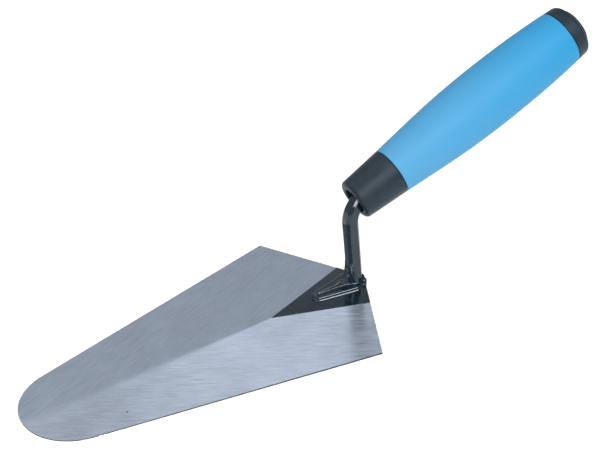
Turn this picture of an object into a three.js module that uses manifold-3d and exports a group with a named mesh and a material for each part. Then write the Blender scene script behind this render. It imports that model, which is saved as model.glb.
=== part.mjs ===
// A 180 mm round-nosed bricklayer's (gauging) trowel with a two-component soft-grip handle.
//
// Millimetres. The origin is on the underside of the blade, level with its shoulders and in the
// plane of the tang and handle. +X runs from the nose towards the handle, +Z points up.
// The handle pieces are turned about the handle's own axis, in a group of their own.

import * as THREE from 'three';
import { mergeVertices } from 'three/addons/utils/BufferGeometryUtils.js';
import Module from 'manifold-3d';

const wasm = await Module();
wasm.setup();

// ---- Driving dimensions -------------------------------------------------------------------

// Blade
const BLADE_LENGTH = 180;        // nose tip to heel apex
const BLADE_WIDTH = 108.9;       // across the shoulders
const BLADE_SHIFT = 1.3;         // the blade's centreline lies this far beyond the tang's, in Y
const HEEL_DEPTH = 25.8;         // shoulder line to heel apex
const NOSE_RADIUS = 27.2;
const STOCK = 1.3;               // full thickness, kept under the tang only
const GROUND_APEX = { x: -27, y: -0.2 };   // where the two ground faces and the stock face meet
const RIDGE_FALL = 0.005;        // thickness lost per millimetre along the ridge
const STOCK_SPREAD = { near: 0.425, far: 0.33 };   // stock face: width per millimetre, each side
const LACQUER = 0.2;             // film left on the stock face

// Tang: foot, web, neck and spike in one forging
const TOE = -4.2;                // front tip of the foot
const TOE_HALF = 2.6;
const FOOT_HALF = 6.9;           // beside the neck
const FOOT_BACK = 23.3;
const FOOT_TOP = 3.1;            // above the underside of the blade
const WEB_TOE_HALF = 0.5;
const WEB_BACK_HALF = 2.2;       // where it starts to widen into the neck
const WEB_CREST = 5.1;           // height where it starts to sweep up into the neck
const WEB_SWEEP = 8;             // radius of that sweep
const NECK = 6.6;                // square bar
const NECK_CHAMFER = 1.4;
const NECK_X = 19.8;
const BEND = 9.5;                // from the corner of the bend to where it starts and ends
const TANG_REACH = 1.5;          // full bar beyond the bend
const SPIKE_TIP = 4.0;           // square
const SPIKE_END = 100;

// Handle, measured along its own axis
const TILT = 19.8;               // degrees above the blade
const AXIS_START = { x: 3.2, z: 39.1 };
const TANG_DROP = 0.8;           // the tang enters this far below the handle's axis
const COLLAR_FRONT = 20.8;
const MOUTH_END = 31;
const MOUTH_RADIUS = 6.2;
const GRIP_START = 43.4;
const GRIP_END = 149.4;
const GRIP_WALL = 2.8;
const CAVITY_START = 110;
const CAVITY_RADIUS = 7.5;
const CAP_END = 157.0;
const CAP_ROUND = 2.2;
const DISC_RADIUS = 9.6;
const DISC_END = 158.6;
const DISC_SEAT = 155.8;
const STEM_RADIUS = 3.0;
const STEM_START = 144;

// Radius of the handle at stations along its axis
const STATIONS = [22, 44, 62, 82, 102, 122, 142, 152];
const RADII = [10.1, 11.83, 13.47, 14.94, 15.52, 15.32, 14.38, 13.55];

const GAP = 0.3;                 // clearance between pieces that fit into each other
const TURNS = 40;                // segments round the handle

// ---- Colours and finishes -----------------------------------------------------------------

const finish = (color, roughness, metalness) =>
  new THREE.MeshStandardMaterial({ color, roughness, metalness, flatShading: true });

const FINISH = {
  blade: () => finish(0xaab8cb, 0.35, 1.0),
  lacquer: () => finish(0x2a3036, 0.25, 0.0),
  plastic: () => finish(0x2b3238, 0.55, 0.0),
  grip: () => finish(0x2f9fe0, 0.6, 0.0),
};

// ---- Helpers ------------------------------------------------------------------------------

// Joins the corners that faces share and drops the faces that this leaves without area.
function welded(geometry) {
  const bare = geometry.clone();
  for (const name of ['normal', 'uv']) bare.deleteAttribute(name);
  const merged = mergeVertices(bare, 1e-4);
  const index = [];
  for (let i = 0; i < merged.index.count; i += 3) {
    const [a, b, c] = [0, 1, 2].map((k) => merged.index.getX(i + k));
    if (a !== b && b !== c && c !== a) index.push(a, b, c);
  }
  merged.setIndex(index);
  return merged;
}

function solid(geometry) {
  const closed = welded(geometry);
  return new wasm.Manifold(new wasm.Mesh({
    numProp: 3,
    vertProperties: new Float32Array(closed.attributes.position.array),
    triVerts: new Uint32Array(closed.index.array),
  }));
}

function geometryOf(manifold) {
  const result = manifold.getMesh();
  const geometry = new THREE.BufferGeometry();
  geometry.setAttribute('position', new THREE.BufferAttribute(result.vertProperties, 3));
  geometry.setIndex(new THREE.BufferAttribute(result.triVerts, 1));
  return geometry;
}

function piece(name, geometry, material) {
  const mesh = new THREE.Mesh(geometry, material());
  mesh.name = name;
  return mesh;
}

const plate = (shape, height, curveSegments = 8) =>
  new THREE.ExtrudeGeometry(shape, { depth: height, bevelEnabled: false, curveSegments });

// A shape drawn with x along X and y along Z, given a thickness along Y about y = 0.
function upright(shape, thickness) {
  return plate(shape, thickness).rotateX(Math.PI / 2).translate(0, thickness / 2, 0);
}

// A closed outline through corner points. Rounding starts the same distance from each corner,
// or a little before the middle of an edge that is too short for it.
function rounded(points, distance) {
  const corners = points.map(([x, y]) => new THREE.Vector2(x, y));
  const towards = (from, to) =>
    to.clone().sub(from).clampLength(0, Math.min(distance, 0.45 * from.distanceTo(to))).add(from);
  const shape = new THREE.Shape();
  corners.forEach((corner, i) => {
    const before = towards(corner, corners.at(i - 1));
    const after = towards(corner, corners[(i + 1) % corners.length]);
    if (i === 0) shape.moveTo(before.x, before.y);
    else shape.lineTo(before.x, before.y);
    shape.quadraticCurveTo(corner.x, corner.y, after.x, after.y);
  });
  shape.closePath();
  return shape;
}

// A body turned about the handle's axis from [radius, distance along the axis] points.
function turned(points) {
  const profile = points.map(([radius, along]) => new THREE.Vector2(radius, along));
  return welded(new THREE.LatheGeometry(profile, TURNS).rotateX(Math.PI / 2));
}

// ---- Handle axis --------------------------------------------------------------------------

const tilt = THREE.MathUtils.degToRad(TILT);
const axis = new THREE.Vector3(Math.cos(tilt), 0, Math.sin(tilt));
const below = new THREE.Vector3(Math.sin(tilt), 0, -Math.cos(tilt));

const handle = new THREE.Group();
handle.position.set(AXIS_START.x, 0, AXIS_START.z);
handle.rotation.y = Math.PI / 2 - tilt;
handle.updateMatrix();

const girth = new THREE.CubicInterpolant(STATIONS, RADII, 1);
const handleRadius = (along) => girth.evaluate(along)[0];

// Points on the handle's surface, pushed inwards, from one place along the axis to another.
function surfacePoints(from, to, steps, inwards = 0) {
  return Array.from({ length: steps + 1 }, (_, i) => {
    const along = THREE.MathUtils.lerp(from, to, i / steps);
    return [handleRadius(along) - inwards, along];
  });
}

// ---- Blade --------------------------------------------------------------------------------

const noseCentre = HEEL_DEPTH - BLADE_LENGTH + NOSE_RADIUS;

function bladeOutline() {
  const half = BLADE_WIDTH / 2;
  const middle = BLADE_SHIFT;
  const toShoulder = Math.atan2(half, -noseCentre);
  const tangent = toShoulder + Math.acos(NOSE_RADIUS / Math.hypot(half, noseCentre));
  const shape = new THREE.Shape();
  shape.moveTo(HEEL_DEPTH, middle);
  shape.lineTo(0, middle + half);
  shape.absarc(noseCentre, middle, NOSE_RADIUS, tangent, 2 * Math.PI - tangent, false);
  shape.lineTo(0, middle - half);
  shape.closePath();
  return shape;
}

const stockSpread = (side) => (side < 0 ? STOCK_SPREAD.near : STOCK_SPREAD.far);

// The metal that taper grinding takes off one half of the blade.
function groundAway(side) {
  const sideFall = RIDGE_FALL / stockSpread(side);
  const normal = new THREE.Vector3(-RIDGE_FALL, side * sideFall, 1).normalize();
  const tip = new THREE.Quaternion().setFromUnitVectors(new THREE.Vector3(0, 0, 1), normal);
  const reach = 3 * BLADE_LENGTH;
  return solid(new THREE.BoxGeometry(reach, reach, 2 * STOCK)
    .translate(0, 0, STOCK)
    .applyQuaternion(tip)
    .translate(GROUND_APEX.x, GROUND_APEX.y, STOCK));
}

function blade() {
  const blank = solid(plate(bladeOutline(), STOCK, 24));
  return geometryOf(blank.subtract(groundAway(-1)).subtract(groundAway(1)));
}

// ---- Tang ---------------------------------------------------------------------------------

// The foot from above; grow moves its edge outwards.
function footOutline(grow = 0) {
  const side = [
    [TOE, TOE_HALF], [13.4, FOOT_HALF - 1.2], [18.6, FOOT_HALF], [21.6, FOOT_HALF - 1.3],
    [FOOT_BACK, NECK / 2],
  ].map(([x, y]) => [x + grow * Math.sign(x - NECK_X / 2), y + grow]);
  const otherSide = side.map(([x, y]) => [x, -y]).reverse();
  return rounded([...side, ...otherSide], 2);
}

// Side view of the web: a low crest that rises from the toe and sweeps up into the neck.
function webProfile() {
  const neckFront = NECK_X - NECK / 2;
  const neckFoot = WEB_CREST + WEB_SWEEP;
  const shape = new THREE.Shape();
  shape.moveTo(TOE + 1.6, FOOT_TOP - 1);
  shape.lineTo(TOE + 1.6, FOOT_TOP);
  shape.lineTo(-0.5, FOOT_TOP + 1.2);
  shape.absarc(neckFront - WEB_SWEEP, neckFoot, WEB_SWEEP, -Math.PI / 2, 0, false);
  shape.lineTo(NECK_X, neckFoot);
  shape.lineTo(NECK_X, FOOT_TOP - 1);
  shape.closePath();
  return shape;
}

// The web seen from above is a wedge, as wide as the neck at its back.
function web() {
  const half = NECK / 2;
  const neckFront = NECK_X - half;
  const side = [[TOE, WEB_TOE_HALF], [neckFront - half, WEB_BACK_HALF], [neckFront, half], [NECK_X, half]];
  const otherSide = side.map(([x, y]) => [x, -y]).reverse();
  const plan = new THREE.Shape([...side, ...otherSide].map(([x, y]) => new THREE.Vector2(x, y)));
  return solid(upright(webProfile(), 2 * NECK)).intersect(solid(plate(plan, 2 * WEB_CREST + WEB_SWEEP)));
}

// The square bar's path: straight up from the foot, then over into the handle.
function neckPath() {
  const entry = new THREE.Vector3(AXIS_START.x, 0, AXIS_START.z).addScaledVector(below, TANG_DROP);
  const corner = entry.clone().addScaledVector(axis, (NECK_X - entry.x) / axis.x);
  const start = corner.clone().setZ(corner.z - BEND);
  const end = corner.clone().addScaledVector(axis, BEND);
  const inside = end.clone().addScaledVector(axis, TANG_REACH);
  const path = new THREE.CurvePath();
  path.add(new THREE.LineCurve3(new THREE.Vector3(NECK_X, 0, FOOT_TOP - 1.5), start));
  path.add(new THREE.QuadraticBezierCurve3(start, corner, end));
  path.add(new THREE.LineCurve3(end, inside));
  return path;
}

function neckSection() {
  const [half, cut] = [NECK / 2, NECK / 2 - NECK_CHAMFER];
  return new THREE.Shape([
    [half, -cut], [half, cut], [cut, half], [-cut, half],
    [-half, cut], [-half, -cut], [-cut, -half], [cut, -half],
  ].map(([x, y]) => new THREE.Vector2(x, y)));
}

// The tapered square spike, in the handle's own frame.
function spike(grow = 0) {
  const from = MOUTH_END - 4;
  const acrossCorners = (width) => (width / 2 + grow) * Math.SQRT2;
  const length = SPIKE_END - from;
  return new THREE.CylinderGeometry(acrossCorners(SPIKE_TIP), acrossCorners(NECK - 0.8), length + grow, 4)
    .rotateY(Math.PI / 4)
    .rotateX(Math.PI / 2)
    .translate(TANG_DROP, 0, from + (length + grow) / 2);
}

function tang() {
  const foot = solid(plate(footOutline(), FOOT_TOP - STOCK, 4).translate(0, 0, STOCK));
  const neck = solid(new THREE.ExtrudeGeometry(neckSection(),
    { steps: 26, bevelEnabled: false, extrudePath: neckPath() }));
  const point = solid(spike().applyMatrix4(handle.matrix));
  return geometryOf(foot.add(web()).add(neck).add(point));
}

// ---- Welds and lacquer --------------------------------------------------------------------

// A bead lies on the blade and round the foot, and keeps clear of both.
function bead(geometry) {
  const floor = new THREE.BoxGeometry(80, 80, 10).translate(0, 0, STOCK + LACQUER + 0.1 - 5);
  const neckRoom = new THREE.BoxGeometry(NECK + 2 * GAP, NECK + 2 * GAP, 20)
    .translate(NECK_X, 0, FOOT_TOP + 8);
  const footRoom = plate(footOutline(GAP), FOOT_TOP + GAP, 4);
  return geometryOf(solid(geometry).subtract(solid(floor)).subtract(solid(footRoom))
    .subtract(solid(neckRoom)));
}

// A thin bead bent round the toe of the foot.
function toeWeld() {
  const arc = new THREE.EllipseCurve(TOE + 3.2, 0, 3.8, 3.6, 0.62 * Math.PI, 1.38 * Math.PI);
  const points = arc.getPoints(8).map((p) => new THREE.Vector3(p.x, p.y, STOCK + 0.5));
  const section = new THREE.Shape().absarc(0, 0, 1, 0, 2 * Math.PI);
  return bead(new THREE.ExtrudeGeometry(section, {
    steps: 8,
    curveSegments: 5,
    bevelEnabled: false,
    extrudePath: new THREE.CatmullRomCurve3(points),
  }));
}

// A thick bead across the back of the foot.
function heelWeld() {
  return bead(new THREE.SphereGeometry(1, 16, 10)
    .scale(2.1, 5.2, 2.3)
    .translate(FOOT_BACK - 0.9, -0.4, FOOT_TOP - 0.5));
}

// The film covers the stock face round the foot, out to where the grinding starts.
function lacquerFilm() {
  const slope = (2 * HEEL_DEPTH) / BLADE_WIDTH;
  // The edge of the stock face is y = apex.y + side * spread * (x - apex.x), and the heel is
  // x = HEEL_DEPTH - slope * side * (y - BLADE_SHIFT).
  const heelCorner = (side) => {
    const spread = stockSpread(side);
    const heelOnRidge = HEEL_DEPTH - slope * side * (GROUND_APEX.y - BLADE_SHIFT);
    const x = (heelOnRidge + slope * spread * GROUND_APEX.x) / (1 + slope * spread);
    return new THREE.Vector2(x, GROUND_APEX.y + side * spread * (x - GROUND_APEX.x));
  };
  const outline = new THREE.Shape([
    new THREE.Vector2(GROUND_APEX.x, GROUND_APEX.y),
    heelCorner(-1),
    new THREE.Vector2(HEEL_DEPTH, BLADE_SHIFT),
    heelCorner(1),
  ]);
  const film = solid(plate(outline, LACQUER).translate(0, 0, STOCK));
  return geometryOf(film.subtract(solid(plate(footOutline(GAP), FOOT_TOP, 4))));
}

// ---- Handle pieces, in the handle's own frame ---------------------------------------------

function handleCore() {
  const nose = COLLAR_FRONT;
  const body = solid(turned([
    [0, MOUTH_END],
    [MOUTH_RADIUS - 0.6, MOUTH_END],
    [MOUTH_RADIUS, nose + 0.6],
    [MOUTH_RADIUS + 0.6, nose],
    [handleRadius(nose) - 1.6, nose],
    [handleRadius(nose) - 0.5, nose + 0.5],
    [handleRadius(nose + 1.6), nose + 1.6],
    ...surfacePoints(nose + 8, GRIP_START, 4),
    ...surfacePoints(GRIP_START, GRIP_END, 9, GRIP_WALL),
    [CAVITY_RADIUS, GRIP_END],
    [CAVITY_RADIUS, CAVITY_START],
    [0, CAVITY_START],
  ]));
  return geometryOf(body.subtract(solid(spike(GAP))));
}

function gripSleeve() {
  const inner = surfacePoints(GRIP_END, GRIP_START + GAP, 9, GRIP_WALL - GAP);
  return turned([...surfacePoints(GRIP_START + GAP, GRIP_END, 14), ...inner,
    [handleRadius(GRIP_START + GAP), GRIP_START + GAP]]);
}

function endCap() {
  const front = GRIP_END + GAP;
  const spigot = CAVITY_RADIUS - GAP;
  const recess = DISC_RADIUS + GAP;
  const bore = STEM_RADIUS + GAP;
  const shoulder = CAP_END - CAP_ROUND;
  const rim = [0, 1, 2, 3].map((step) => {
    const angle = (step * Math.PI) / 6;
    return [
      handleRadius(shoulder) - CAP_ROUND * (1 - Math.cos(angle)),
      shoulder + CAP_ROUND * Math.sin(angle),
    ];
  });
  return turned([
    [bore, STEM_START + 1],
    [spigot, STEM_START + 1],
    [spigot, front],
    ...surfacePoints(front, shoulder - 0.5, 2),
    ...rim,
    [recess, CAP_END],
    [recess, DISC_SEAT],
    [bore, DISC_SEAT],
    [bore, STEM_START + 1],
  ]);
}

function endDisc() {
  return turned([
    [0, STEM_START],
    [STEM_RADIUS, STEM_START],
    [STEM_RADIUS, DISC_SEAT + GAP],
    [DISC_RADIUS, DISC_SEAT + GAP],
    [DISC_RADIUS, DISC_END - 0.7],
    [DISC_RADIUS - 0.7, DISC_END],
    [0, DISC_END],
  ]);
}

// ---- Assembly -----------------------------------------------------------------------------

handle.add(
  piece('handle_core', handleCore(), FINISH.plastic),
  piece('grip_sleeve', gripSleeve(), FINISH.grip),
  piece('end_cap', endCap(), FINISH.plastic),
  piece('end_disc', endDisc(), FINISH.plastic),
);

const trowel = new THREE.Group();
trowel.add(
  piece('blade', blade(), FINISH.blade),
  piece('heel_lacquer', lacquerFilm(), FINISH.lacquer),
  piece('tang', tang(), FINISH.lacquer),
  piece('toe_weld', toeWeld(), FINISH.lacquer),
  piece('heel_weld', heelWeld(), FINISH.lacquer),
  handle,
);

export default trowel;
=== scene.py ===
"""Looks of a 180 mm round-nosed bricklayer's trowel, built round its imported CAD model.

The dimensions are in millimetres, in the CAD model's frame: the origin is on the underside of the
blade, level with its shoulders, +X runs towards the handle and +Z up. MM turns them into metres.
"""

import math

import bmesh
import bpy
import numpy as np
from mathutils import Matrix, Vector


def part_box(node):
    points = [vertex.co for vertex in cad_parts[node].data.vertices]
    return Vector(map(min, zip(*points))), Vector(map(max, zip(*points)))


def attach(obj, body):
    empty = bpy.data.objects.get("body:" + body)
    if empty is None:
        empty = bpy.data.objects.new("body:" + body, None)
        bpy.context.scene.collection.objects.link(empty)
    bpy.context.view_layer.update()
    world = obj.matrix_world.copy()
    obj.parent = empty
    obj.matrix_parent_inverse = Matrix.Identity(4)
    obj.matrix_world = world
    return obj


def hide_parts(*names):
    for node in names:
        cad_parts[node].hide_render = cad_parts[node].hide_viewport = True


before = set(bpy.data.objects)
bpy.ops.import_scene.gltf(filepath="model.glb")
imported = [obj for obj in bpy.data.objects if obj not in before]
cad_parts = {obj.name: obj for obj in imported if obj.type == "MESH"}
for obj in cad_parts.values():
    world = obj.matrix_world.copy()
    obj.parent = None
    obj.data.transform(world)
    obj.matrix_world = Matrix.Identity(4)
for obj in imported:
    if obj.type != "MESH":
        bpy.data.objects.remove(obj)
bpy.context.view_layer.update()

# ---- Driving dimensions ---------------------------------------------------------------------

MM = 0.001

# Blade
BLADE_LOW, BLADE_HIGH = (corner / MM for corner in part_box("blade"))
NOSE_RADIUS = 27.2
STOCK = 1.3                      # full thickness, under the tang
GROUND_APEX = (-27.0, -0.2)      # where the ridge meets the lacquered stock face
RIDGE_FALL = 0.005               # thickness lost per millimetre along the ridge
STOCK_SPREAD = {-1: 0.425, 1: 0.33}    # width of the stock face per millimetre, near and far
GRAIN = {-1: -36.0, 1: 19.0}     # direction of the grinding marks, degrees
LACQUER = 0.2
NOSE_SHADE_FROM, NOSE_SHADE_TO = -40.0, -146.0    # where painted shade darkens the near half towards the nose
# Nicks in the near edge: place, measured from where the straight meets the nose, width and depth
NICKS = [(3.1, 2.4, 0.45), (5.0, 1.2, 0.3), (-4.3, 1.6, 0.35)]
# Across a nick: shares of its width from its middle, and shares of its depth
NICK_SHAPE = [(-0.5, 0), (-0.2, 0.7), (0.05, 1), (0.25, 0.5), (0.5, 0)]
PIT = (-113.2, -19.4)            # a dark speck in the near half
PIT_RADIUS, PIT_BLUR = 0.3, 0.2
EDGE_BEVEL = 0.12                # along the edges of the blade and of the lacquer on it

# Tang
TOE = -3.5
TOE_HALF = 2.6
FOOT_HALF = 6.9
FOOT_BACK = 23.3
FOOT_TOP = 3.1
SPREAD_X, SHOULDER_X, HIP_X = 13.4, 18.6, 21.6    # corners of the foot's outline, front to back
FOOT_OFFSET = 0.7                # how much further the far side spreads, by the neck
OFFSET_START, OFFSET_FULL = 11.0, 17.0
BED = STOCK + 0.02               # underside of the foot and the welds, just clear of the blade
FILM_CLEAR = 0.01                # the lacquer film's own clearance
POOL_REACH = 1.1                 # how far round the foot its lacquer pools
WEB_TOE_HALF = 0.35
WEB_WIDENING = 0.09              # half width gained per millimetre
WEB_STEP = 1.1                   # height of the web just behind the toe
STEP_START, STEP_FULL = TOE + 0.4, 0.2
WEB_START = TOE + 0.9
WEB_CLIMB = 0.09                 # height gained per millimetre
WEB_SWEEP = 8.0                  # radius of the curve into the neck
WEB_FLARE = 1.5                  # extra half width where the web meets the neck
FLARE_START, FLARE_RUN = 12.0, 5.0
WEB_TAPER = 0.5                  # share of its width that the web loses towards its crest
WEB_SPREAD = 0.22                # extra half width at its very base
NECK = 6.6
NECK_CORNER = 1.4
NECK_HOLLOW = 0.9                # how far the rear face steps in at the foot
HOLLOW_TOP, HOLLOW_FULL = 10.0, 4.5    # heights where that step starts and where it is full
NECK_PAST_BEND = 4.0             # how far the bar runs straight on towards the handle
BEVEL = 0.78                     # width of the flat on the foot's near edges and of its fillets
# The gentler flat on its far edges: how far it faces out and up, and its depth at the corner
FAR_BEVEL = (0.37, 0.93, 0.32)
NECK_X = 19.8
BEND = 9.5                       # from the corner of the bend to where it starts and ends

# Handle, along its own axis
TILT = math.radians(19.8)
AXIS_START = np.array([3.2, 0.0, 39.1])
TANG_DROP = 0.8
COLLAR_FRONT = 20.8
MOUTH_END = 31.0
MOUTH_RADIUS = 6.2
GRIP_START = 43.4
GRIP_END = 149.4
GRIP_WALL = 2.8
PAINTED_SHEEN_FROM, PAINTED_SHEEN_TO = 45.0, 155.0    # along X, where the painted sheen fades out and the rubber's blue deepens
CAVITY_START = 110.0
CAVITY_RADIUS = 7.5
CAP_END = 157.0
DISC_RADIUS = 9.6
DISC_END = 158.4
DISC_SEAT = 155.8
STEM_RADIUS = 3.0
STEM_START = 144.0
SPIKE_START = MOUTH_END - 1.5
SPIKE_END = 100.0
SPIKE_BASE = NECK - 1.2
SPIKE_TIP = 4.0
SPIKE_POINT = 3.0                # length of the blunt point
# Outside radius of the handle at stations along its axis
STATIONS = [22, 44, 62, 82, 102, 122, 142, 152]
RADII = [10.1, 11.83, 13.47, 14.94, 15.52, 15.32, 14.38, 13.55]
TURNS = 160                      # segments round the handle
GAP = 0.3                        # between the cap and what sits in or round it

# Set and camera
FLOOR_DROP = 0.3                 # below the blade
FLOOR_HALF = 3.0                 # metres
FOCUS_LENGTH = 111.3
CAMERA_PLACE = (-347.7, -619.5, 516.7)
CAMERA_AZIMUTH = -28.81
CAMERA_ELEVATION = 33.7
CAMERA_ROLL = -5.42


# ---- Pieces ---------------------------------------------------------------------------------

def add_piece(name, mesh, paint, node):
    """A mesh in millimetres becomes a piece that stands for a CAD node."""
    mesh.transform(Matrix.Scale(MM, 4))
    mesh.materials.append(paint)
    piece = bpy.data.objects.new(name, mesh)
    bpy.context.scene.collection.objects.link(piece)
    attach(piece, "root")
    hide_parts(node)


def mesh_of(name, points, faces):
    mesh = bpy.data.meshes.new(name)
    mesh.from_pydata([tuple(point) for point in points], [], [tuple(face) for face in faces])
    mesh.update()
    return mesh


def shade(mesh, sharp_above=35.0):
    """Smooth shading, with creases where faces meet at more than an angle in degrees."""
    mesh.polygons.foreach_set("use_smooth", [True] * len(mesh.polygons))
    mesh.set_sharp_from_angle(angle=math.radians(sharp_above))


# ---- Skin of a solid given by a distance ------------------------------------------------------

CORNERS = np.array([(i, j, k) for i in (0, 1) for j in (0, 1) for k in (0, 1)])
EDGES = [(a, b) for a in range(8) for b in range(a + 1, 8)
         if abs(CORNERS[a] - CORNERS[b]).sum() == 1]


def smooth_max(parts, softness):
    """The largest of several distances, with the corner between them rounded."""
    parts = np.broadcast_arrays(*parts)
    peak = np.maximum.reduce(parts)
    return peak + softness * np.log(sum(np.exp((part - peak) / softness) for part in parts))


def smooth_min(parts, softness):
    return -smooth_max([-part for part in parts], softness)


def steps(*stops):
    """Grid positions from stop to stop: start, then pairs of step and end."""
    line = [stops[0]]
    for step, end in zip(stops[1::2], stops[2::2]):
        count = math.ceil((end - line[-1]) / step)
        line.extend(np.linspace(line[-1], end, count + 1)[1:])
    return np.array(line)


def skin(distance, axes, passes=3):
    """Quads round the space where distance(x, y, z) is below zero: one vertex in each cell of a
    grid that the surface passes through, then moved onto the surface itself."""
    grid = np.meshgrid(*axes, indexing="ij", sparse=True)
    field = np.ascontiguousarray(np.broadcast_to(distance(*grid), [len(axis) for axis in axes]))
    inside = field < 0
    size = np.array(field.shape) - 1
    filled = sum(inside[i:i + size[0], j:j + size[1], k:k + size[2]].astype(np.int8)
                 for i, j, k in CORNERS)
    cells = np.argwhere((filled > 0) & (filled < 8))
    number = np.full(size, -1)
    number[tuple(cells.T)] = np.arange(len(cells))
    values = np.array([field[tuple((cells + corner).T)] for corner in CORNERS])
    total = np.zeros((len(cells), 3))
    hits = np.zeros((len(cells), 1))
    for a, b in EDGES:
        crossed = (values[a] < 0) != (values[b] < 0)
        share = np.where(crossed, values[a] / np.where(crossed, values[a] - values[b], 1.0), 0.0)
        total += crossed[:, None] * (CORNERS[a] + share[:, None] * (CORNERS[b] - CORNERS[a]))
        hits += crossed[:, None]
    within = total / hits
    points = np.stack([axis[cell] + part * (axis[cell + 1] - axis[cell])
                       for axis, cell, part in zip(axes, cells.T, within.T)], axis=1)
    faces = []
    for axis in range(3):
        across, over = (axis + 1) % 3, (axis + 2) % 3
        first = np.take(inside, range(size[axis]), axis)
        second = np.take(inside, range(1, size[axis] + 1), axis)
        spots = np.argwhere(first != second)
        spots = spots[(spots[:, across] > 0) & (spots[:, over] > 0)
                      & (spots[:, across] < size[across]) & (spots[:, over] < size[over])]
        ring = []
        for back_across, back_over in ((1, 1), (0, 1), (0, 0), (1, 0)):
            cell = spots.copy()
            cell[:, across] -= back_across
            cell[:, over] -= back_over
            ring.append(number[tuple(cell.T)])
        quads = np.stack(ring, axis=1)
        outwards = first[tuple(spots.T)]
        faces.append(np.where(outwards[:, None], quads, quads[:, ::-1]))
    for _ in range(passes):
        points = onto_surface(points, distance)
    return points, np.concatenate(faces)


def slope_at(points, distance, nudge=0.004):
    """How fast the distance grows along each axis."""
    return np.stack([(distance(*(points + nudge * axis).T) - distance(*(points - nudge * axis).T))
                     / (2 * nudge) for axis in np.eye(3)], axis=1)


def onto_surface(points, distance, reach=0.05, flattest=0.05):
    """Moves points along the distance's slope, by no more than a short reach."""
    slope = slope_at(points, distance)
    steepness = np.maximum((slope ** 2).sum(1), flattest)
    move = -distance(*points.T)[:, None] * slope / steepness[:, None]
    length = np.linalg.norm(move, axis=1, keepdims=True)
    return points + move * np.minimum(1.0, reach / np.maximum(length, 1e-9))


def skinned(name, distance, axes, more_points=(), more_faces=()):
    """A mesh of the skin, shaded by the distance's own slope, with other points and faces added."""
    points, faces = skin(distance, axes)
    count = len(points)
    slope = slope_at(points, distance)
    slope /= np.maximum(np.linalg.norm(slope, axis=1, keepdims=True), 1e-9)
    mesh = mesh_of(name, [*points, *more_points],
                   [*faces, *([count + corner for corner in face] for face in more_faces)])
    shade(mesh, sharp_above=180)
    normals = [tuple(normal) for normal in slope] + [(0.0, 0.0, 0.0)] * len(more_points)
    mesh.normals_split_custom_set_from_vertices(normals)
    return mesh


# ---- Blade ----------------------------------------------------------------------------------

MIDDLE = (BLADE_LOW.y + BLADE_HIGH.y) / 2
HALF_WIDTH = (BLADE_HIGH.y - BLADE_LOW.y) / 2
HEEL = BLADE_HIGH.x
NOSE_CENTRE = BLADE_LOW.x + NOSE_RADIUS
NOSE_TURN = (math.atan2(HALF_WIDTH, -NOSE_CENTRE)
             + math.acos(NOSE_RADIUS / math.hypot(HALF_WIDTH, NOSE_CENTRE)))


def top_of_blade(x, y, side):
    """Height of the ground face on one side of the ridge."""
    run = x - GROUND_APEX[0]
    return STOCK + RIDGE_FALL * (run - side * (y - GROUND_APEX[1]) / STOCK_SPREAD[side])


def edge_point(side, run, depth=0.0):
    """A point of the outline: run is measured from where the nose meets the straight edge."""
    angle = NOSE_TURN + max(-run, 0.0) / NOSE_RADIUS
    straight = max(run, 0.0)
    radius = NOSE_RADIUS - depth
    return (NOSE_CENTRE + radius * math.cos(angle) + straight * math.sin(NOSE_TURN),
            MIDDLE + side * (radius * math.sin(angle) - straight * math.cos(NOSE_TURN)))


def side_outline(side, count=48):
    """Points from the ridge's end round half of the nose, past the nicks, to the shoulder."""
    ridge_angle = math.pi - math.asin((GROUND_APEX[1] - MIDDLE) * side / NOSE_RADIUS)
    start = -(ridge_angle - NOSE_TURN) * NOSE_RADIUS
    depths = {run: 0.0 for run in np.linspace(start, 0.0, count)}
    if side < 0:
        for place, width, depth in NICKS:
            depths = {run: deep for run, deep in depths.items() if abs(run - place) > width / 2}
            depths.update({place + width * share: depth * part for share, part in NICK_SHAPE})
    points = [edge_point(side, run, depths[run]) for run in sorted(depths)]
    return points + [(0.0, MIDDLE + side * HALF_WIDTH)]


def stock_corner(side):
    """Where the edge of the stock face meets the heel edge."""
    slope = HEEL / HALF_WIDTH
    spread = STOCK_SPREAD[side]
    heel_on_ridge = HEEL - slope * side * (GROUND_APEX[1] - MIDDLE)
    x = (heel_on_ridge + slope * spread * GROUND_APEX[0]) / (1 + slope * spread)
    return x, GROUND_APEX[1] + side * spread * (x - GROUND_APEX[0])


def is_rim(edge, sharp=math.radians(60), turning=0.3, upright=0.4):
    """Whether an edge runs along the blade's rim, or stands upright where the rim turns."""
    angle = edge.calc_face_angle(0)
    drop = abs(edge.verts[0].co.z - edge.verts[1].co.z)
    return angle > sharp or (drop > upright and angle > turning)


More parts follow.
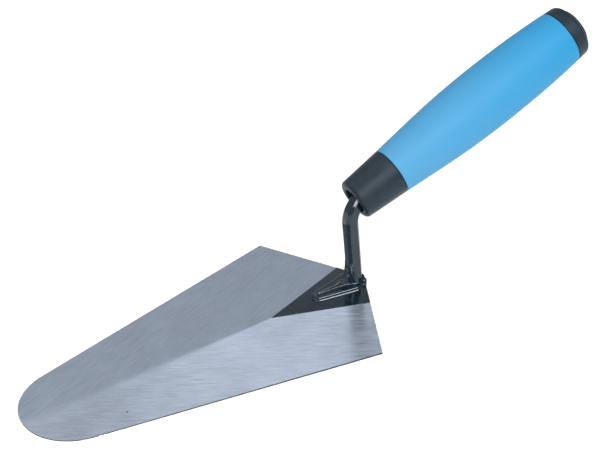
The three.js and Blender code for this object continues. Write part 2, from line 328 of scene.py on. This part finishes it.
def blade_mesh():
    """Two ground faces that meet along the ridge, the flat stock face by the heel, and a flat
    underside, all inside one rim."""
    shape = bmesh.new()
    apex = shape.verts.new((*GROUND_APEX, STOCK))
    heel_top = shape.verts.new((HEEL, MIDDLE, STOCK))
    edges = {}
    for side in (-1, 1):
        edges[side] = [shape.verts.new((x, y, top_of_blade(x, y, side))) for x, y in side_outline(side)]
        edges[side].append(shape.verts.new((*stock_corner(side), STOCK)))
    shape.verts.remove(edges[1][0])
    edges[1][0] = edges[-1][0]
    for side in (-1, 1):
        shape.faces.new([apex, *edges[side]])
    shape.faces.new([apex, edges[-1][-1], heel_top, edges[1][-1]])
    border = edges[-1] + [heel_top] + edges[1][:0:-1]
    under = [shape.verts.new((v.co.x, v.co.y, 0.0)) for v in border]
    for i, vertex in enumerate(border):
        shape.faces.new([border[i - 1], under[i - 1], under[i], vertex])
    shape.faces.new(under)
    bmesh.ops.recalc_face_normals(shape, faces=shape.faces)
    rim = [edge for edge in shape.edges if is_rim(edge)]
    bmesh.ops.bevel(shape, geom=rim, offset=EDGE_BEVEL, segments=2, profile=0.6, affect="EDGES",
                    clamp_overlap=True)
    mesh = bpy.data.meshes.new("ground_blade")
    shape.to_mesh(mesh)
    shape.free()
    return mesh


def lacquer_mesh():
    """The film on the stock face, out to where the grinding starts."""
    shape = bmesh.new()
    outline = [GROUND_APEX, stock_corner(-1), (HEEL, MIDDLE), stock_corner(1)]
    low = shape.faces.new([shape.verts.new((x, y, STOCK + FILM_CLEAR)) for x, y in outline])
    grown = bmesh.ops.extrude_face_region(shape, geom=[low])
    lifted = [g for g in grown["geom"] if isinstance(g, bmesh.types.BMVert)]
    bmesh.ops.translate(shape, verts=lifted, vec=(0, 0, LACQUER - FILM_CLEAR))
    bmesh.ops.recalc_face_normals(shape, faces=shape.faces)
    top = [e for e in shape.edges if all(v.co.z > STOCK + LACQUER / 2 for v in e.verts)]
    bmesh.ops.bevel(shape, geom=top, offset=EDGE_BEVEL, segments=3, profile=0.5, affect="EDGES")
    mesh = bpy.data.meshes.new("lacquer_film")
    shape.to_mesh(mesh)
    shape.free()
    shade(mesh)
    return mesh


# ---- Handle frame ---------------------------------------------------------------------------

AXIS = np.array([math.cos(TILT), 0.0, math.sin(TILT)])
BELOW = np.array([math.sin(TILT), 0.0, -math.cos(TILT)])
ACROSS = np.array([0.0, 1.0, 0.0])
girth = np.poly1d(np.polyfit(STATIONS, RADII, 7))


def turned(name, profile):
    """A body turned about the handle's axis from (radius, distance along the axis) points. A
    profile that doesn't start on the axis closes on itself."""
    points = []
    rings = []
    for radius, along in profile:
        centre = AXIS_START + along * AXIS
        if radius == 0:
            rings.append([len(points)] * TURNS)
            points.append(centre)
            continue
        rings.append(list(range(len(points), len(points) + TURNS)))
        for turn in range(TURNS):
            angle = 2 * math.pi * turn / TURNS
            points.append(centre + radius * (math.cos(angle) * BELOW + math.sin(angle) * ACROSS))
    faces = []
    pairs = list(zip(rings, rings[1:]))
    if profile[0][0] != 0:
        pairs.append((rings[-1], rings[0]))
    for first, second in pairs:
        for turn in range(TURNS):
            after = (turn + 1) % TURNS
            ring = [first[turn], first[after], second[after], second[turn]]
            faces.append([v for i, v in enumerate(ring) if v != ring[i - 1]])
    mesh = mesh_of(name, points, faces)
    shape = bmesh.new()
    shape.from_mesh(mesh)
    bmesh.ops.recalc_face_normals(shape, faces=shape.faces)
    shape.to_mesh(mesh)
    shape.free()
    shade(mesh)
    return mesh


def arc(radius_centre, along_centre, radius, start, end, count=6):
    """Points of a rounded corner of a profile, between two angles in degrees."""
    return [(radius_centre + radius * math.cos(math.radians(a)),
             along_centre + radius * math.sin(math.radians(a)))
            for a in np.linspace(start, end, count)]


def surface(start, end, parts, inwards=0.0):
    """Points of a profile along the handle's outside, or a distance inside it."""
    return [(girth(along) - inwards, along) for along in np.linspace(start, end, parts + 1)]


def collar_profile():
    """The mouth for the tang, the collar round it, and the core that the grip sits on, hollow at
    its end for the cap."""
    nose, rim, lip, chamfer = COLLAR_FRONT, 1.9, 0.7, 0.35
    return [
        (0, MOUTH_END),
        (MOUTH_RADIUS - 0.6, MOUTH_END),
        (MOUTH_RADIUS, nose + 1.0),
        *arc(MOUTH_RADIUS + lip, nose + lip, lip, 180, 270),
        *arc(girth(nose + rim) - rim, nose + rim, rim, -80, 0, 9),
        *surface(nose + rim + 0.4, GRIP_START - chamfer, 12),
        (girth(GRIP_START) - chamfer, GRIP_START),
        *surface(GRIP_START, GRIP_END, 14, GRIP_WALL),
        (CAVITY_RADIUS, GRIP_END),
        (CAVITY_RADIUS, CAVITY_START),
        (0, CAVITY_START),
    ]


def grip_profile():
    """A sleeve that hugs the core."""
    start, end, edge = GRIP_START + 0.25, GRIP_END, 0.45
    return [
        *arc(girth(start + edge) - edge, start + edge, edge, -90, 0),
        *surface(start + edge + 0.3, end - edge - 0.3, 60),
        *arc(girth(end - edge) - edge, end - edge, edge, 0, 90),
        *surface(end, start, 14, GRIP_WALL - 0.05),
    ]


def cap_profile():
    """The rounded end, with a spigot into the core, a recess for the disc and a bore for its stem."""
    front, edge, round_off = GRIP_END + 0.2, 0.3, 2.9
    spigot, recess, bore = CAVITY_RADIUS - GAP, DISC_RADIUS + GAP, STEM_RADIUS + GAP
    shoulder = CAP_END - round_off
    return [
        (bore, STEM_START + 1),
        (spigot, STEM_START + 1),
        (spigot, front),
        *arc(girth(front + edge) - edge, front + edge, edge, -90, 0, 4),
        *surface(front + 2 * edge, shoulder - edge, 6),
        *arc(girth(shoulder) - round_off, shoulder, round_off, 0, 90, 12),
        *arc(recess + edge, CAP_END - edge, edge, 90, 180, 4),
        (recess, DISC_SEAT),
        (bore, DISC_SEAT),
    ]


def disc_profile():
    """A stem with a disc on it, its face set in a little from its edge."""
    edge, border, inset = 0.5, 2.2, 0.15
    back = DISC_SEAT + 0.1
    return [
        (0, STEM_START),
        (STEM_RADIUS, STEM_START),
        (STEM_RADIUS, back),
        (DISC_RADIUS, back),
        *arc(DISC_RADIUS - edge, DISC_END - edge, edge, 0, 90),
        (DISC_RADIUS - border, DISC_END),
        (DISC_RADIUS - border - 2 * inset, DISC_END - inset),
        (0, DISC_END - inset),
    ]


# ---- Tang -----------------------------------------------------------------------------------

def neck_bend():
    """The bend's centre, radius and angle, from the corner that it rounds."""
    entry = AXIS_START + TANG_DROP * BELOW
    corner = entry + AXIS * (NECK_X - entry[0]) / AXIS[0]
    turn = math.pi / 2 - TILT
    radius = BEND / math.tan(turn / 2)
    start = corner - np.array([0.0, 0.0, BEND])
    return start + np.array([radius, 0.0, 0.0]), radius, turn


BEND_CENTRE, BEND_RADIUS, BEND_TURN = neck_bend()


def neck_coordinates(x, z):
    """Distance along the neck's path from the start of the bend, and distance behind that path."""
    from_centre = np.arctan2(z - BEND_CENTRE[2], BEND_CENTRE[0] - x)
    angle = np.clip(from_centre, 0.0, BEND_TURN)
    end = BEND_CENTRE + BEND_RADIUS * np.array([-math.cos(BEND_TURN), 0.0, math.sin(BEND_TURN)])
    beyond = (x - end[0]) * AXIS[0] + (z - end[2]) * AXIS[2]
    lower = z < BEND_CENTRE[2]
    upper = (~lower) & (beyond > 0)
    arc_rear = BEND_RADIUS - np.hypot(x - BEND_CENTRE[0], z - BEND_CENTRE[2])
    straight_rear = x - (BEND_CENTRE[0] - BEND_RADIUS)
    tilted_rear = (x - end[0]) * BELOW[0] + (z - end[2]) * BELOW[2]
    rear = np.where(lower, straight_rear, np.where(upper, tilted_rear, arc_rear))
    along = np.where(lower, z - BEND_CENTRE[2],
                     np.where(upper, BEND_RADIUS * BEND_TURN + beyond, BEND_RADIUS * angle))
    return along, rear


def ease(low, high, value):
    """From 0 at low to 1 at high, smoothly."""
    share = np.clip((value - low) / (high - low), 0.0, 1.0)
    return share * share * (3 - 2 * share)


def neck_distance(x, y, z):
    """Square bar with broad hammered corners, its rear face stepped in by the foot."""
    along, rear = neck_coordinates(x, z)
    half = NECK / 2
    diagonal = half * math.sqrt(2) - NECK_CORNER / math.sqrt(2)
    back, across = np.abs(rear), np.abs(y)
    hollow = NECK_HOLLOW * ease(HOLLOW_TOP, HOLLOW_FULL, z) * (rear > 0)
    section = smooth_max([back + hollow - half, across - half,
                          (back + across) / math.sqrt(2) - diagonal], softness=0.09)
    swell = 0.06    # makes up for what the softness takes off
    end = BEND_RADIUS * BEND_TURN + NECK_PAST_BEND
    bottom = FOOT_TOP - 1.2
    return smooth_max([section - swell, along - end, bottom - z], softness=0.12)


def plan_distance(x, y, grow=0.0):
    """Distance to the outline of the foot, seen from above: it widens, a little faster towards
    its shoulders, and then narrows to the neck's width."""
    size = np.abs(y) - np.where(y > 0, FOOT_OFFSET * ease(OFFSET_START, OFFSET_FULL, x), 0.0)
    corners = [(TOE, 0.0), (TOE, TOE_HALF - 0.5), (TOE + 0.9, TOE_HALF + 0.15),
               (SPREAD_X, FOOT_HALF - 1.2), (SHOULDER_X, FOOT_HALF), (HIP_X, FOOT_HALF - 1.3),
               (FOOT_BACK, NECK / 2), (FOOT_BACK, 0.0)]
    planes = []
    for (x0, y0), (x1, y1) in zip(corners, corners[1:]):
        length = math.hypot(x1 - x0, y1 - y0)
        planes.append(((x - x0) * (y0 - y1) + (size - y0) * (x1 - x0)) / length)
    flank = smooth_min(planes[2:4], softness=0.8)
    return smooth_max([planes[0], planes[1], flank, *planes[4:]], softness=0.35) - grow


def filleted(parts, softness):
    """Two solids joined, with a flat fillet where they meet."""
    flat = (parts[0] + parts[1]) / math.sqrt(2) - BEVEL / 2
    return smooth_min([*parts, flat], softness)


def web_half(x):
    """Half the web's width at its base."""
    return WEB_TOE_HALF + WEB_WIDENING * np.maximum(x - TOE, 0.0)


def web_crest(x):
    """Height of the web: up from the toe, along, and then round into the neck."""
    to_neck = np.clip(NECK_X - NECK / 2 - x, 0.0, WEB_SWEEP)
    rise = WEB_STEP * ease(STEP_START, STEP_FULL, x) + WEB_CLIMB * np.maximum(x, 0.0)
    return FOOT_TOP + rise + WEB_SWEEP - np.sqrt(WEB_SWEEP ** 2 - (WEB_SWEEP - to_neck) ** 2)


def foot_distance(x, y, z):
    """The flange, steeply bevelled on its near side and gently on its far one, with its web."""
    outline, top = plan_distance(x, y), z - FOOT_TOP
    near_bevel = (outline + top) / math.sqrt(2) + BEVEL / 2
    out, up, inset = FAR_BEVEL
    far_bevel = out * outline + up * top + inset
    flange = smooth_max([outline, top, np.where(y > 0, far_bevel, near_bevel)], softness=0.08)
    crest = web_crest(x)
    full_height = crest - FOOT_TOP + 0.3    # never zero, even where there is no web yet
    height = np.clip((z - FOOT_TOP) / full_height, 0.0, 1.0)
    width = web_half(x) * (1.0 - WEB_TAPER * height) + WEB_SPREAD * (1.0 - height) ** 4
    flare = WEB_FLARE * (np.clip(x - FLARE_START, 0.0, FLARE_RUN) / FLARE_RUN) ** 2
    above_crest = 0.7 * (z - crest)    # less than the plain height, as the crest slopes
    web = smooth_max([np.abs(y) - width - flare, above_crest, x - NECK_X, WEB_START - x],
                     softness=0.22)
    return filleted([flange, web], softness=0.06)


def tang_distance(x, y, z):
    """Foot and neck, with lacquer pooled in the corner where the foot meets the blade."""
    body = smooth_min([foot_distance(x, y, z), neck_distance(x, y, z)], softness=0.3)
    film = STOCK + LACQUER - 0.03    # just under the face of the film on the blade
    above_pool = film + 1.5
    pooled = filleted([body, z - film], softness=0.05)
    pooled = np.maximum(pooled, plan_distance(x, y, POOL_REACH))
    return np.maximum(np.where(z > above_pool, body, pooled), BED - z)


def spike():
    """The square taper that is driven into the handle."""
    sections = [(SPIKE_START, SPIKE_BASE), (SPIKE_END - SPIKE_POINT, SPIKE_TIP),
                (SPIKE_END, SPIKE_TIP / 2)]
    points = []
    for along, width in sections:
        centre = AXIS_START + along * AXIS + TANG_DROP * BELOW
        for a, b in ((1, 1), (-1, 1), (-1, -1), (1, -1)):
            points.append(centre + width / 2 * (a * BELOW + b * ACROSS))
    faces = [(3, 2, 1, 0), (8, 9, 10, 11)]
    for ring in (0, 4):
        for i in range(4):
            j = (i + 1) % 4
            faces.append((ring + i, ring + j, ring + j + 4, ring + i + 4))
    return points, faces


def tang_mesh():
    """Foot and neck, on a grid that is finer over the foot, and the spike."""
    axes = [steps(TOE - 2, 0.18, 24.5, 0.25, 38), steps(-9.0, 0.13, 9.0),
            steps(STOCK - 0.2, 0.1, 4.6, 0.2, 9.0, 0.33, 55)]
    return skinned("tang_forging", tang_distance, axes, *spike())


# ---- Welds ----------------------------------------------------------------------------------

def beads_distance(beads, x, y, z):
    """Several ellipsoids run together, flat where they lie on the blade."""
    parts = []
    for cx, cy, cz, rx, ry, rz in beads:
        scaled = np.sqrt(((x - cx) / rx) ** 2 + ((y - cy) / ry) ** 2 + ((z - cz) / rz) ** 2)
        parts.append((scaled - 1) * min(rx, ry, rz))
    shrink = 0.12    # makes up for what the softness adds
    return np.maximum(smooth_min(parts, softness=0.4) + shrink, BED - z)


# Centre and radii of each bead
HEEL_BEADS = [
    (21.4, -5.2, 2.0, 1.5, 1.3, 1.2),
    (22.6, -3.5, 2.6, 1.7, 1.6, 1.7),
    (23.0, -1.2, 3.0, 1.7, 2.0, 2.3),
    (23.0, 1.4, 2.9, 1.6, 1.8, 2.2),
    (22.4, 3.5, 2.5, 1.7, 1.6, 1.8),
    (21.2, 5.4, 2.0, 1.6, 1.3, 1.4),
    (19.4, 6.7, 1.8, 1.4, 0.9, 1.0),
]
TOE_BEADS = [
    (-2.9, -1.9, 1.5, 0.9, 0.8, 0.8),
    (-3.4, -0.8, 1.6, 0.8, 0.8, 0.9),
    (-3.5, 0.4, 1.5, 0.8, 0.8, 0.7),
    (-2.9, 1.6, 1.6, 0.8, 0.8, 0.9),
    (-3.6, -2.9, 1.4, 0.7, 0.5, 0.45),
    (-2.6, -2.5, 1.4, 0.7, 0.5, 0.5),
]


def weld_mesh(name, beads, step=0.12, margin=0.6):
    axes = [steps(min(b[i] - b[i + 3] for b in beads) - margin, step,
                  max(b[i] + b[i + 3] for b in beads) + margin) for i in range(3)]
    return skinned(name, lambda x, y, z: beads_distance(beads, x, y, z), axes)


# ---- Materials ------------------------------------------------------------------------------

class Paint:
    """A material with one Principled shader, and short ways to put patterns on it."""

    def __init__(self, name, **values):
        self.material = bpy.data.materials.new(name)
        self.material.use_nodes = True
        self.nodes = self.material.node_tree.nodes
        self.shader = self.nodes["Principled BSDF"]
        for socket, value in values.items():
            title = socket.replace("_", " ").title().replace("Ior", "IOR")
            self.shader.inputs[title].default_value = value
        self.place = self.node("ShaderNodeTexCoord").outputs["Object"]

    def node(self, kind, inputs=(), **settings):
        """A new node. Each input is a value or the socket it is wired from."""
        made = self.nodes.new(kind)
        for setting, value in settings.items():
            setattr(made, setting, value)
        for socket, value in dict(inputs).items():
            if isinstance(value, bpy.types.NodeSocket):
                self.material.node_tree.links.new(value, made.inputs[socket])
            else:
                made.inputs[socket].default_value = value
        return made

    def to(self, socket, value):
        """Wires a value to the shader."""
        self.material.node_tree.links.new(value, self.shader.inputs[socket])

    def pattern(self, size, along=1.0, turn=0.0, detail=3.0, rough=0.5):
        """Noise with features of a size in millimetres, drawn out along a direction."""
        rotated = self.node("ShaderNodeVectorRotate", {
            "Vector": self.place, "Angle": math.radians(turn),
        }, rotation_type="Z_AXIS", invert=True)
        scaled = self.node("ShaderNodeMapping", {
            "Vector": rotated.outputs[0],
            "Scale": (1 / (size * along * MM), 1 / (size * MM), 1 / (size * MM)),
        })
        return self.node("ShaderNodeTexNoise", {
            "Vector": scaled.outputs[0], "Scale": 1.0, "Detail": detail, "Roughness": rough,
        }).outputs["Fac"]

    def part(self, vector, axis):
        """One coordinate of a vector."""
        return self.node("ShaderNodeSeparateXYZ", {"Vector": vector}).outputs[axis]

    def span(self, value, from_low, from_high, low=0.0, high=1.0, smooth=False):
        """Maps one range of values onto another, and holds its ends beyond it."""
        kind = "SMOOTHSTEP" if smooth else "LINEAR"
        return self.node("ShaderNodeMapRange", {
            "Value": value, "From Min": from_low, "From Max": from_high, "To Min": low, "To Max": high,
        }, interpolation_type=kind).outputs[0]

    def spread(self, noise, low=0.0, high=1.0, margin=0.3):
        """Maps noise, which seldom leaves the middle of its range, from low to high."""
        return self.span(noise, margin, 1 - margin, low, high)

    def sum(self, *values, operation="ADD"):
        """The sum of several values, or what another operation makes of them."""
        total = values[0]
        for value in values[1:]:
            total = self.node("ShaderNodeMath", {0: total, 1: value}, operation=operation).outputs[0]
        return total

    def mix(self, factor, first, second, kind="RGBA"):
        """From first to second. Each kind of data has its own sockets: factor, both and result."""
        sockets = {"RGBA": (0, 6, 7, 2), "VECTOR": (0, 4, 5, 1), "FLOAT": (0, 2, 3, 0)}[kind]
        return self.node("ShaderNodeMix", dict(zip(sockets, (factor, first, second))),
                         data_type=kind).outputs[sockets[3]]

    def bump(self, height, depth):
        """Relief of a depth in millimetres."""
        self.to("Normal", self.node("ShaderNodeBump", {
            "Height": height, "Distance": depth * MM, "Strength": 1.0,
        }).outputs[0])


def grey(value, tint=(1.0, 1.0, 1.0)):
    return (*(value * share for share in tint), 1.0)


STEEL_TINT = (0.84, 0.93, 1.08)
STEEL_NEAR_PAINTED_LIT, STEEL_NOSE_PAINTED_SHADE, STEEL_FAR_PAINTED_SHADE = 0.73, 0.46, 0.53    # painted light and shade on one steel: the lit near half by the heel, the near half shaded towards the nose, the shaded far half
STEEL_PIT_AND_EDGE_SHADE = 0.05                # in the pit, and as painted shade on faces of the blade that don't face up, such as its edges
BLACK_TINT = (0.35, 1.0, 1.6)
BLACK = 0.008
LACQUER_BLACK, PLASTIC_BLACK = 0.014, 0.016    # the lightest of their clouds
DUST, RUBBED = 0.06, 0.045
RUBBER_DEEP = (0.005, 0.200, 0.39, 1.0)
RUBBER_PAINTED_SHEEN = (0.060, 0.235, 0.40, 1.0)


def ground_steel():
    """Ground steel: each half has grinding marks of its own direction, and the line between
    them is crisp at the lacquer and soft at the nose. Its colour holds painted light and shade: the
    near half lighter than the far one, darker towards the nose, and dark on faces that don't face up."""
    paint = Paint("ground_steel", metallic=1.0, anisotropic=0.75)
    x, y = paint.part(paint.place, "X"), paint.part(paint.place, "Y")
    blur = paint.span(x, GROUND_APEX[0] * MM, BLADE_LOW.x * MM, 0.15 * MM, 9.0 * MM)
    offset = paint.sum(y, -GROUND_APEX[1] * MM)
    side = paint.span(paint.sum(offset, blur, operation="DIVIDE"), -1.0, 1.0, smooth=True)
    fine = {s: paint.pattern(0.35, along=40, turn=GRAIN[s], detail=2.0) for s in (-1, 1)}
    coarse = {s: paint.pattern(1.0, along=9, turn=GRAIN[s], detail=4.0, rough=0.65) for s in (-1, 1)}
    marks = paint.mix(side, fine[-1], fine[1], "FLOAT")
    streaks = paint.mix(side, coarse[-1], coarse[1], "FLOAT")
    clouds = paint.pattern(22.0, detail=2.0)

    # painted shade: the near half's colour darkens towards the nose
    nose_shade = paint.span(x, NOSE_SHADE_FROM * MM, NOSE_SHADE_TO * MM, smooth=True)
    near = paint.mix(nose_shade, grey(STEEL_NEAR_PAINTED_LIT, STEEL_TINT), grey(STEEL_NOSE_PAINTED_SHADE, STEEL_TINT))
    # painted light and shade: the near half lighter than the far half, though both are the same steel
    light = paint.mix(side, near, grey(STEEL_FAR_PAINTED_SHADE, STEEL_TINT))
    tone = paint.sum(paint.spread(streaks, 0.89, 1.05, margin=0.35),
                     paint.spread(clouds, -0.03, 0.03, margin=0.35))
    tones = paint.node("ShaderNodeCombineXYZ", {"X": tone, "Y": tone, "Z": tone}).outputs[0]
    ground = paint.node("ShaderNodeVectorMath", {0: light, 1: tones}, operation="MULTIPLY").outputs[0]
    facing_up = paint.part(paint.node("ShaderNodeTexCoord").outputs["Normal"], "Z")
    pit = Vector((*PIT, top_of_blade(*PIT, -1))) * MM
    away = paint.node("ShaderNodeVectorMath", {0: paint.place, 1: pit}, operation="DISTANCE")
    off_pit = paint.span(away.outputs["Value"], PIT_RADIUS * MM, (PIT_RADIUS + PIT_BLUR) * MM)
    # painted shade: faces that don't face up take the dark colour; the pit takes it as a real speck
    unshaded_off_pit = paint.sum(paint.span(facing_up, 0.55, 0.85), off_pit, operation="MULTIPLY")
    paint.to("Base Color", paint.mix(unshaded_off_pit, grey(STEEL_PIT_AND_EDGE_SHADE, STEEL_TINT), ground))

    paint.to("Roughness", paint.sum(paint.spread(marks, 0.24, 0.34), paint.spread(clouds, -0.02, 0.03)))
    paint.bump(paint.sum(marks, streaks), 0.006)
    turns = {s: math.radians(GRAIN[s]) for s in (-1, 1)}
    across = {s: (-math.sin(turns[s]), math.cos(turns[s]), 0.0) for s in (-1, 1)}
    paint.to("Tangent", paint.mix(side, across[-1], across[1], "VECTOR"))
    return paint.material


def black_lacquer():
    """Glossy black dip over forged and welded steel."""
    paint = Paint("black_lacquer", ior=1.44)
    lumps = paint.pattern(2.2, detail=2.0)
    peel = paint.pattern(0.5, detail=1.0)
    dust = paint.pattern(0.18, detail=1.0)
    base = paint.mix(paint.spread(lumps), grey(BLACK, BLACK_TINT), grey(LACQUER_BLACK, BLACK_TINT))
    specks = paint.span(dust, 0.70, 0.76, 0.0, 0.5)
    paint.to("Base Color", paint.mix(specks, base, grey(DUST)))
    paint.to("Roughness", paint.spread(lumps, 0.07, 0.15))
    paint.bump(paint.sum(lumps, paint.span(peel, 0.0, 1.0, 0.0, 0.1)), 0.02)
    return paint.material


def moulded_plastic():
    """Satin black polypropylene with a fine grain and a few rubs."""
    paint = Paint("moulded_plastic", ior=1.36)
    grain = paint.pattern(0.16, detail=2.0)
    cloud = paint.pattern(7.0, detail=3.0)
    rubs = paint.pattern(0.5, along=9, turn=70, detail=2.0)
    base = paint.mix(paint.spread(cloud), grey(BLACK, BLACK_TINT), grey(PLASTIC_BLACK, BLACK_TINT))
    rubbed = paint.span(rubs, 0.60, 0.72, 0.0, 0.6)
    paint.to("Base Color", paint.mix(rubbed, base, grey(RUBBED, BLACK_TINT)))
    paint.to("Roughness", paint.sum(paint.spread(grain, 0.44, 0.56), paint.spread(cloud, -0.04, 0.06)))
    paint.bump(grain, 0.02)
    return paint.material


def soft_rubber():
    """Blue thermoplastic rubber, with a painted sheen that makes it paler towards the blade."""
    paint = Paint("soft_rubber", ior=1.36)
    grain = paint.pattern(0.22, detail=2.0)
    cloud = paint.pattern(16.0, detail=2.0)
    # painted sheen: the blue is paler towards the blade
    painted_sheen = paint.span(paint.part(paint.place, "X"), PAINTED_SHEEN_TO * MM, PAINTED_SHEEN_FROM * MM, 0.0, 0.9)
    tone = paint.sum(painted_sheen, paint.spread(cloud, 0.0, 0.1))
    paint.to("Base Color", paint.mix(tone, RUBBER_DEEP, RUBBER_PAINTED_SHEEN))
    paint.to("Roughness", paint.sum(paint.spread(grain, 0.54, 0.66), paint.spread(cloud, -0.03, 0.03)))
    paint.bump(grain, 0.012)
    return paint.material


# ---- Set, light and camera --------------------------------------------------------------------

def floor():
    """A white sheet that glows a little, so that it stays white beside the trowel."""
    corners = [(-1, -1), (1, -1), (1, 1), (-1, 1)]
    mesh = mesh_of("floor", [(FLOOR_HALF * x, FLOOR_HALF * y, 0) for x, y in corners], [range(4)])
    paint = Paint("floor", roughness=0.7, emission_color=grey(1.0), emission_strength=0.25)
    paint.to("Base Color", paint.mix(paint.pattern(300.0), grey(0.90), grey(0.93)))
    mesh.materials.append(paint.material)
    made = bpy.data.objects.new("floor", mesh)
    made.location.z = -FLOOR_DROP * MM
    bpy.context.scene.collection.objects.link(made)


SKY_STRENGTH = 0.70
SKY_BRIGHT_WAY = (-0.5, 0.2, 0.84)
SKY_COLORS = [(0.70, 0.76, 0.84, 1), (0.97, 1.0, 1.04, 1)]    # away from and towards that way
HEEL_SPOT = (0.02, 0.0, 0.02)

# Name, place, target and size in metres, power in watts and tint
SOFTBOXES = [
    # Soft light from above and behind
    ("overhead", (-0.25, 0.35, 1.1), HEEL_SPOT, (1.0, 1.0), 3.6, (1.0, 1.0, 1.0)),
    # Mirrored by the near bevel of the foot and the fillet of its web
    ("key", (0.04, -0.74, 0.87), HEEL_SPOT, (0.7, 0.3), 10.5, (0.92, 0.97, 1.0)),
    # Mirrored by the neck where it bends
    ("lens_strip", (-0.62, -0.80, 0.62), (0.025, 0.0, 0.045), (0.16, 0.5), 3.6, (1.0, 1.0, 1.0)),
]


def softbox(name, place, target, size, power, tint):
    light = bpy.data.lights.new(name, "AREA")
    light.shape = "RECTANGLE"
    light.size, light.size_y = size
    light.energy = power
    light.color = tint
    made = bpy.data.objects.new(name, light)
    made.location = place
    made.rotation_mode = "QUATERNION"
    made.rotation_quaternion = (Vector(target) - Vector(place)).to_track_quat("-Z", "Y")
    bpy.context.scene.collection.objects.link(made)


def studio():
    """A sky that is brightest one way and cooler and darker the other, and the lights."""
    world = bpy.data.worlds.new("studio")
    world.use_nodes = True
    nodes, links = world.node_tree.nodes, world.node_tree.links
    background = nodes["Background"]
    background.inputs["Strength"].default_value = SKY_STRENGTH
    direction = nodes.new("ShaderNodeTexCoord").outputs["Generated"]
    lean = nodes.new("ShaderNodeVectorMath")
    lean.operation = "DOT_PRODUCT"
    lean.inputs[1].default_value = SKY_BRIGHT_WAY
    links.new(direction, lean.inputs[0])
    shades = nodes.new("ShaderNodeValToRGB")
    for element, color in zip(shades.color_ramp.elements, SKY_COLORS):
        element.color = color
    links.new(lean.outputs["Value"], shades.inputs["Fac"])
    links.new(shades.outputs["Color"], background.inputs["Color"])
    bpy.context.scene.world = world
    for light in SOFTBOXES:
        softbox(*light)


def camera():
    """The place that the photo was taken from."""
    lens = bpy.data.cameras.new("camera")
    lens.lens = FOCUS_LENGTH
    lens.clip_start = 0.01
    made = bpy.data.objects.new("camera", lens)
    azimuth, elevation = math.radians(CAMERA_AZIMUTH), math.radians(CAMERA_ELEVATION)
    forward = Vector((-math.sin(azimuth) * math.cos(elevation),
                      math.cos(azimuth) * math.cos(elevation),
                      -math.sin(elevation)))
    right = forward.cross(Vector((0, 0, 1))).normalized()
    up = right.cross(forward)
    roll = Matrix.Rotation(math.radians(CAMERA_ROLL), 4, "Z")
    turn = Matrix((right, up, -forward)).transposed().to_4x4() @ roll
    made.matrix_world = Matrix.Translation(Vector(CAMERA_PLACE) * MM) @ turn
    bpy.context.scene.collection.objects.link(made)
    bpy.context.scene.camera = made


# ---- Assembly -------------------------------------------------------------------------------

steel, lacquer, plastic, rubber = ground_steel(), black_lacquer(), moulded_plastic(), soft_rubber()

add_piece("ground_blade", blade_mesh(), steel, "blade")
add_piece("lacquer_film", lacquer_mesh(), lacquer, "heel_lacquer")
add_piece("tang_forging", tang_mesh(), lacquer, "tang")
add_piece("toe_bead", weld_mesh("toe_bead", TOE_BEADS), lacquer, "toe_weld")
add_piece("heel_bead", weld_mesh("heel_bead", HEEL_BEADS), lacquer, "heel_weld")
for name, profile, paint, slot, node in (
        ("collar_moulding", collar_profile(), plastic, "hard_plastic", "handle_core"),
        ("grip_moulding", grip_profile(), rubber, "soft_grip", "grip_sleeve"),
        ("cap_moulding", cap_profile(), plastic, "hard_plastic", "end_cap"),
        ("disc_moulding", disc_profile(), plastic, "hard_plastic", "end_disc")):
    add_piece(name, turned(name, profile), paint, node)

floor()
studio()
camera()
bpy.context.scene.view_settings.view_transform = "Standard"
